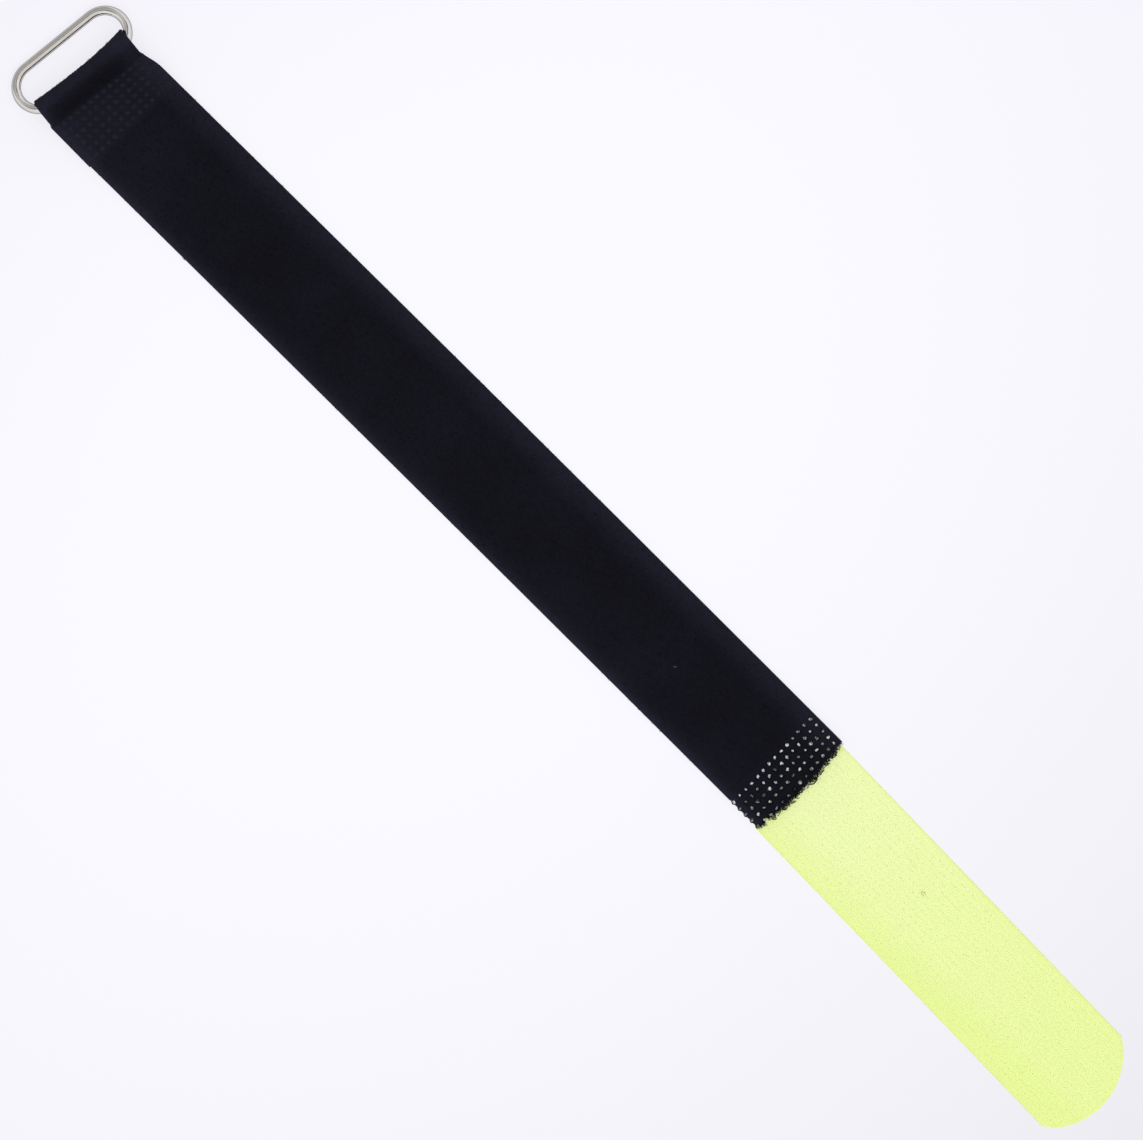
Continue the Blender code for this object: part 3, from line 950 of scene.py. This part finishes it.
class TIE_OT_add_joint_points(bpy.types.Operator):
    """Adds the pale melted weld points that join the strap to the tab"""

    bl_idname = "tie.add_joint_points"
    bl_label = "Joint weld points"

    def execute(self, context):
        scene = context.scene
        form = StrapForm(scene)
        weld = scene.tie_weld
        draw = np.random.default_rng(5)
        count = weld.joint_rows * weld.columns
        row, column = np.divmod(np.arange(count), weld.columns)
        across = ((column + 0.5) / weld.columns - 0.5) * scene.tie_strap.width + weld.joint_offset
        x = form.weld_x + (row + 0.5) * weld.pitch - weld.joint_slant * across
        x = x + draw.normal(0, 0.00007, count)
        y = form.middle(x) + across + draw.normal(0, 0.00006, count)
        edge_share, over_floor = -0.95, 0.00008
        tape = form.thickness(np.maximum(across / form.half, edge_share))
        places = vectors(x, y, form.joint_height + tape - weld.joint_depth + over_floor)
        places[:, 0] += form.fray(places)
        angle = draw.uniform(0, 2 * math.pi, count)
        heading = vectors(np.cos(angle), np.sin(angle), 0.0)
        standing = vectors(draw.normal(0, 0.2, count), draw.normal(0, 0.2, count), 1.0)
        flatness = np.array((1.0, 1.0, 0.7))
        scales = draw.uniform(0.0005, 0.00105, (count, 3)) * flatness
        dull = draw.random(count) < np.resize(DULL_POINTS, weld.joint_rows)[row]
        dull_at_right = 3
        dull |= (row == 0) & (column >= weld.columns - dull_at_right) | (row > 0) & (column == 0)
        bright = np.where(dull, draw.uniform(0.0, 0.45, count), draw.uniform(0.75, 1.1, count))
        clear_rows, green_fade = 1.2, 1.8
        green = smooth((row - clear_rows) / green_fade) * draw.uniform(0.5, 1.0, count)
        piece = stamp(
            "joint_points",
            melt_model(3),
            turns_from(heading, standing, scales),
            to_world(places),
            {"bright": bright, "green": green},
        )
        piece.data.materials.append(melt_material(weld))
        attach(piece, "strap")
        return {"FINISHED"}


class TabForm:
    """The hook tab's place, outline and rows."""

    def __init__(self, scene):
        self.tab, self.weld = scene.tie_tab, scene.tie_weld
        self.middle = scene.tie_strap.bow + self.tab.offset
        self.half = self.tab.width / 2
        self.row_pitch = (self.tab.width - 2 * self.tab.selvedge) / self.tab.rows
        set_back = 0.00025
        self.start = -self.weld.joint_rows * self.weld.pitch + set_back

    def place(self, along, across, z):
        """Points from the strap's cut end and the tab's middle line, drawn in where the strap covers them."""
        narrowing, fade = 0.035, 0.0012
        turn, slant = math.cos(self.tab.skew), math.sin(self.tab.skew)
        across = across * (1 - narrowing * smooth(-along / fade))
        x = CUT_X + along * turn - across * slant
        y = self.middle + along * slant + across * turn
        return to_world(vectors(x, y, z))

    def tip(self, across):
        """How far the rounded tip reaches at this place across the tab, with its left corner rounded off."""
        corner_depth, corner_power = 0.0008, 12
        radius = self.tab.tip_radius
        corner = corner_depth * np.clip(-across / self.half, 0, 1) ** corner_power
        end = TIP_X + self.tab.tip_reach - CUT_X - corner
        return end - radius + np.sqrt(radius**2 - (across - self.tab.tip_offset) ** 2)


class TIE_OT_add_tab(bpy.types.Operator):
    """Adds the woven hook tape"""

    bl_idname = "tie.add_tab"
    bl_label = "Hook tape"

    def execute(self, context):
        tab = context.scene.tie_tab
        form = TabForm(context.scene)
        across = columns_across(TAB_COLUMNS, form.half, TAB_RIM_COLUMNS)[None] * form.half
        share = np.concatenate([np.linspace(0, 1, TAB_STEPS + 1), 1 - np.array(TAB_TIP_ROWS)])
        share = np.sort(share)[:, None]
        along = mix(form.start, form.tip(across), share)
        from_side = form.half - np.abs(across)
        from_end = np.minimum(form.tip(across) - along, along - form.start)
        inside = np.minimum(np.broadcast_to(from_side, along.shape), from_end)

        edge_fade, edge_drop = 0.0004, 0.00008
        hidden_fade, hidden_drop = 0.001, 0.00002
        rim_width, rim_depth, rim_below = 0.00022, 0.00018, 0.4
        course_pitch, wale_pitch, back_relief = 0.0009, 0.0008, 0.00001
        plain = smooth((tab.selvedge - from_side) / edge_fade)
        ridges = np.cos(2 * math.pi * across / form.row_pitch) * (1 - plain)
        courses = np.cos(2 * math.pi * along / course_pitch)
        wales = np.cos(2 * math.pi * across / wale_pitch)
        flat = form.place(along, across, 0.0)
        relief = 0.00003 * ridges + 0.000015 * courses + 0.00002 * fine_noise(flat, 1700.0)
        hidden = smooth(-along / hidden_fade)
        rounded = rim_depth * (1 - quarter_round(inside / rim_width))
        top = tab.backing - edge_drop * plain + relief * (1 - hidden) - hidden_drop * hidden - rounded
        bottom = back_relief * (1 + courses * wales) + rim_below * rounded

        material = tab_material(tab)
        piece = slab_piece(
            "tab_tape",
            form.place(along, across, top),
            form.place(along, across, bottom),
            along,
            across,
            material,
            material,
        )
        edge_width, left_width = 0.0009, 0.010
        deep = 0.7 * smooth(1 - inside / edge_width) + 0.55 * smooth(1 - (form.half + across) / left_width)
        edge = np.clip(deep + 0.75 * smooth(share), 0, 1)
        point_attribute(piece, "edge", np.concatenate([edge.ravel(), edge.ravel()]))
        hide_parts("hook_tab")
        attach(piece, "strap")
        return {"FINISHED"}


def hook_model(stem, wire):
    """One hook: a stem of monofilament that bends over to a blunt end."""
    bend, curve = wire * 1.15, math.radians(205)
    bpy.ops.object.select_all(action="DESELECT")
    bpy.ops.mesh.primitive_circle_add(vertices=5, radius=wire / 2, fill_type="NGON")
    model = bpy.context.active_object
    bpy.ops.object.mode_set(mode="EDIT")
    bpy.ops.mesh.select_all(action="SELECT")
    bpy.ops.mesh.extrude_region_move(TRANSFORM_OT_translate={"value": (0, 0, stem - bend)})
    bpy.ops.mesh.spin(steps=5, angle=curve, center=(bend, 0, stem - bend), axis=(0, 1, 0))
    bpy.ops.mesh.select_all(action="SELECT")
    bpy.ops.mesh.normals_make_consistent(inside=False)
    bpy.ops.object.mode_set(mode="OBJECT")
    return model


class TIE_OT_add_hooks(bpy.types.Operator):
    """Adds the rows of hooks on the tab"""

    bl_idname = "tie.add_hooks"
    bl_label = "Tab hooks"

    def execute(self, context):
        tab = context.scene.tie_tab
        form = TabForm(context.scene)
        draw = np.random.default_rng(47)
        tip_gap, sunk = 0.0006, 0.00006
        across, along = [], []
        for row in range(tab.rows):
            line = -form.half + tab.selvedge + form.row_pitch * (row + 0.5)
            start = tab.hook_gap + tab.hook_pitch * (row % 2) / 2
            steps = np.arange(start, float(form.tip(line)) - tip_gap, tab.hook_pitch)
            along += list(steps)
            across += [line] * len(steps)
        count = len(along)
        along = np.array(along) + draw.normal(0, 0.00008, count)
        across = np.array(across) + draw.normal(0, 0.00007, count)
        angle = draw.normal(0, 0.35, count) + math.pi * (draw.random(count) < 0.5) + tab.skew
        heading = vectors(np.cos(angle), np.sin(angle), 0.0)
        standing = vectors(draw.normal(0, 0.12, count), draw.normal(0, 0.12, count), 1.0)
        scales = vectors(1.0, 1.0, draw.uniform(0.88, 1.0, count))
        piece = stamp(
            "tab_hooks",
            hook_model(tab.hook_height + sunk, tab.wire),
            turns_from(heading, standing, scales),
            form.place(along, across, tab.backing - sunk),
            {"shade": draw.random(count)},
        )
        piece.data.materials.append(hook_material(tab))
        piece.visible_shadow = piece.visible_diffuse = False
        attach(piece, "strap")
        return {"FINISHED"}


class TIE_OT_add_lint(bpy.types.Operator):
    """Adds the two bits of lint that are caught on the pile and on the hooks"""

    bl_idname = "tie.add_lint"
    bl_label = "Lint"

    def execute(self, context):
        scene = context.scene
        draw = np.random.default_rng(3)
        over_pile = 0.0001
        strap_top = scene.tie_strap.pile + over_pile
        tab_top = scene.tie_tab.backing + scene.tie_tab.hook_height
        for (name, slot, place, colour, size), top in zip(LINT, (strap_top, tab_top)):
            heading = draw.normal(0, 1, (3, 3)) * np.array((1, 1, 0.2))
            curl = draw.normal(0, 1, (3, 3)) * np.array((1, 1, 0.5))
            scales = size * draw.uniform(0.6, 1.0, (3, 3))
            places = np.array((*place, top)) + size * draw.normal(0, 0.5, (3, 3)) * np.array((1, 1, 0.2))
            piece = stamp(name, arch_model(4), turns_from(heading, curl, scales), places)
            piece.data.materials.append(lint_material(name, colour))
            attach(piece, "strap")
        return {"FINISHED"}


class TIE_OT_add_ring(bpy.types.Operator):
    """Adds the oval wire ring that hangs in the folded eye"""

    bl_idname = "tie.add_ring"
    bl_label = "Oval ring"

    def execute(self, context):
        ring = context.scene.tie_ring
        radius = (ring.inside_width + ring.wire) / 2
        straight_half = (ring.inside_length - ring.inside_width) / 2
        segments = 72
        bpy.ops.object.select_all(action="DESELECT")
        bpy.ops.mesh.primitive_torus_add(
            major_radius=radius,
            minor_radius=ring.wire / 2,
            major_segments=segments,
            minor_segments=24,
            location=(-radius, 0, 0),
            rotation=(0, 0, math.pi / segments),
        )
        piece = context.active_object
        piece.name = "oval_ring"
        bpy.ops.object.transform_apply(location=True, rotation=True, scale=True)
        for side in (1, -1):
            bpy.ops.object.mode_set(mode="EDIT")
            bpy.ops.mesh.select_mode(type="VERT")
            bpy.ops.mesh.select_all(action="DESELECT")
            bpy.ops.object.mode_set(mode="OBJECT")
            for vert in piece.data.vertices:
                vert.select = vert.co.y * side > 0
            bpy.ops.object.mode_set(mode="EDIT")
            bpy.ops.transform.translate(value=(0, side * straight_half, 0))
            bpy.ops.object.mode_set(mode="OBJECT")
        tilt = -math.asin((BAR.z - ring.wire / 2) / (2 * radius))
        turn = Matrix.Rotation(-BAR_SKEW, 4, "Z") @ Matrix.Rotation(tilt, 4, "Y")
        piece.matrix_world = Matrix.Translation(BAR) @ turn
        bpy.ops.object.transform_apply(location=True, rotation=True, scale=True)
        bpy.ops.object.shade_smooth()
        piece.data.materials.clear()
        piece.data.materials.append(ring_material(ring))
        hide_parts("ring")
        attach(piece, "ring")
        return {"FINISHED"}


class TIE_OT_add_stage(bpy.types.Operator):
    """Adds the pale floor, the soft light and the camera over the tie"""

    bl_idname = "tie.add_stage"
    bl_label = "Stage"

    def execute(self, context):
        scene = context.scene
        stage = scene.tie_stage
        bpy.ops.object.select_all(action="DESELECT")
        bpy.ops.mesh.primitive_plane_add(size=FLOOR_SIZE, location=(0, 0, -FLOOR_DROP))
        floor = context.active_object
        floor.name = "floor"
        floor.data.materials.append(self.floor_material(stage))

        bpy.ops.object.light_add(type="AREA", location=LAMP_PLACE)
        lamp = context.active_object
        lamp.name = "soft_lamp"
        lamp.data.size = LAMP_SIZE
        lamp.data.energy = stage.lamp_power
        lamp.rotation_euler = lamp.location.to_track_quat("Z", "Y").to_euler()
        lamp.visible_camera = lamp.visible_glossy = False

        for name, place, size, turn, shade in CARDS:
            bpy.ops.object.select_all(action="DESELECT")
            bpy.ops.mesh.primitive_plane_add(size=1.0, location=place, rotation=(0, math.radians(turn), 0))
            card = context.active_object
            card.name = name
            card.scale = (*size, 1.0)
            card.data.materials.append(self.card_material(name, shade * stage.cards))
            card.visible_camera = card.visible_diffuse = card.visible_shadow = False

        bpy.ops.object.camera_add(
            location=(stage.view_x, stage.view_y, stage.camera_height), rotation=(0, 0, math.pi / 4)
        )
        camera = context.active_object
        camera.name = "camera"
        camera.data.lens = camera.data.sensor_width * stage.camera_height / stage.view_width
        scene.camera = camera

        self.light_world(scene, stage)
        scene.view_settings.view_transform = "Standard"
        return {"FINISHED"}

    def seen_directly(self, tree):
        """1 for what the camera, gloss or glass sees, and 0 for light."""
        path = add_node(tree, "LightPath")
        glossy = added(tree, path.outputs["Is Camera Ray"], path.outputs["Is Glossy Ray"], "MAXIMUM")
        return added(tree, glossy, path.outputs["Is Transmission Ray"], "MAXIMUM")

    def floor_material(self, stage):
        """A pale floor which mostly lights itself for the eye, less so far out, and takes a faint shadow."""
        material, shader = new_material("floor", stage.floor_colour, 0.9, {"Specular IOR Level": 0.0})
        tree = material.node_tree
        glow_share = 0.8
        to_middle, narrowed = (0.04, 0.0, 0.0), (1.0, 0.7, 0.0)
        inputs = {"Vector": object_place(tree), "Location": to_middle, "Scale": narrowed}
        moved = add_node(tree, "Mapping", inputs).outputs[0]
        far = add_node(tree, "VectorMath", {0: moved, 1: moved}, operation="DOT_PRODUCT").outputs["Value"]
        light = ranged(tree, far, 0.0, stage.shade_reach**2, stage.near_shade, stage.far_shade)
        glow = add_node(tree, "Emission", {"Color": (*stage.floor_colour, 1.0), "Strength": light})
        share = added(tree, self.seen_directly(tree), glow_share, "MULTIPLY")
        both = add_node(tree, "MixShader", {0: share, 1: shader.outputs[0], 2: glow.outputs[0]})
        tree.links.new(both.outputs[0], tree.nodes["Material Output"].inputs["Surface"])
        return material

    def card_material(self, name, shade):
        """A grey card for the ring to mirror."""
        material, shader = new_material(name, (0.0, 0.0, 0.0), 1.0, {"Specular IOR Level": 0.0})
        shader.inputs["Emission Color"].default_value = (1.0, 0.97, 0.95, 1.0)
        shader.inputs["Emission Strength"].default_value = shade
        return material

    def light_world(self, scene, stage):
        """Even light all round, seen as the pale backdrop."""
        world = bpy.data.worlds.new("plain_light")
        world.use_nodes = True
        tree = world.node_tree
        light = tree.nodes["Background"]
        light.inputs["Color"].default_value = (1.0, 1.0, 1.0, 1.0)
        light.inputs["Strength"].default_value = stage.ambient
        inputs = {"Color": (*stage.floor_colour, 1.0), "Strength": stage.far_shade}
        backdrop = add_node(tree, "Background", inputs)
        inputs = {0: self.seen_directly(tree), 1: light.outputs[0], 2: backdrop.outputs[0]}
        both = add_node(tree, "MixShader", inputs)
        tree.links.new(both.outputs[0], tree.nodes["World Output"].inputs["Surface"])
        scene.world = world


SETTINGS = {
    "tie_strap": StrapSettings,
    "tie_weld": WeldSettings,
    "tie_tab": TabSettings,
    "tie_ring": RingSettings,
    "tie_stage": StageSettings,
}
OPERATORS = (
    TIE_OT_add_strap,
    TIE_OT_add_pile,
    TIE_OT_add_cut_fibres,
    TIE_OT_add_tab,
    TIE_OT_add_hooks,
    TIE_OT_add_joint_points,
    TIE_OT_add_lint,
    TIE_OT_add_ring,
    TIE_OT_add_stage,
)


class TIE_PT_panel(bpy.types.Panel):
    """Lists the cable tie's pieces and settings"""

    bl_label = "Hook and loop cable tie"
    bl_idname = "TIE_PT_panel"
    bl_space_type = "VIEW_3D"
    bl_region_type = "UI"
    bl_category = "Cable tie"

    def draw(self, context):
        for operator in OPERATORS:
            self.layout.operator(operator.bl_idname)
        for name in SETTINGS:
            settings = getattr(context.scene, name)
            box = self.layout.box()
            for key in settings.bl_rna.properties.keys():
                if key not in ("rna_type", "name"):
                    box.prop(settings, key)


def register():
    for settings in SETTINGS.values():
        bpy.utils.register_class(settings)
    for name, settings in SETTINGS.items():
        setattr(bpy.types.Scene, name, PointerProperty(type=settings))
    for operator in OPERATORS:
        bpy.utils.register_class(operator)
    bpy.utils.register_class(TIE_PT_panel)


def unregister():
    bpy.utils.unregister_class(TIE_PT_panel)
    for operator in reversed(OPERATORS):
        bpy.utils.unregister_class(operator)
    for name, settings in SETTINGS.items():
        delattr(bpy.types.Scene, name)
        bpy.utils.unregister_class(settings)


def main():
    register()
    for old in [piece for piece in bpy.data.objects if piece.name in ("Cube", "Light", "Camera")]:
        bpy.data.objects.remove(old, do_unlink=True)
    bpy.ops.tie.add_strap()
    bpy.ops.tie.add_pile()
    bpy.ops.tie.add_cut_fibres()
    bpy.ops.tie.add_tab()
    bpy.ops.tie.add_hooks()
    bpy.ops.tie.add_joint_points()
    bpy.ops.tie.add_lint()
    bpy.ops.tie.add_ring()
    bpy.ops.tie.add_stage()


if __name__ == "__main__":
    main()
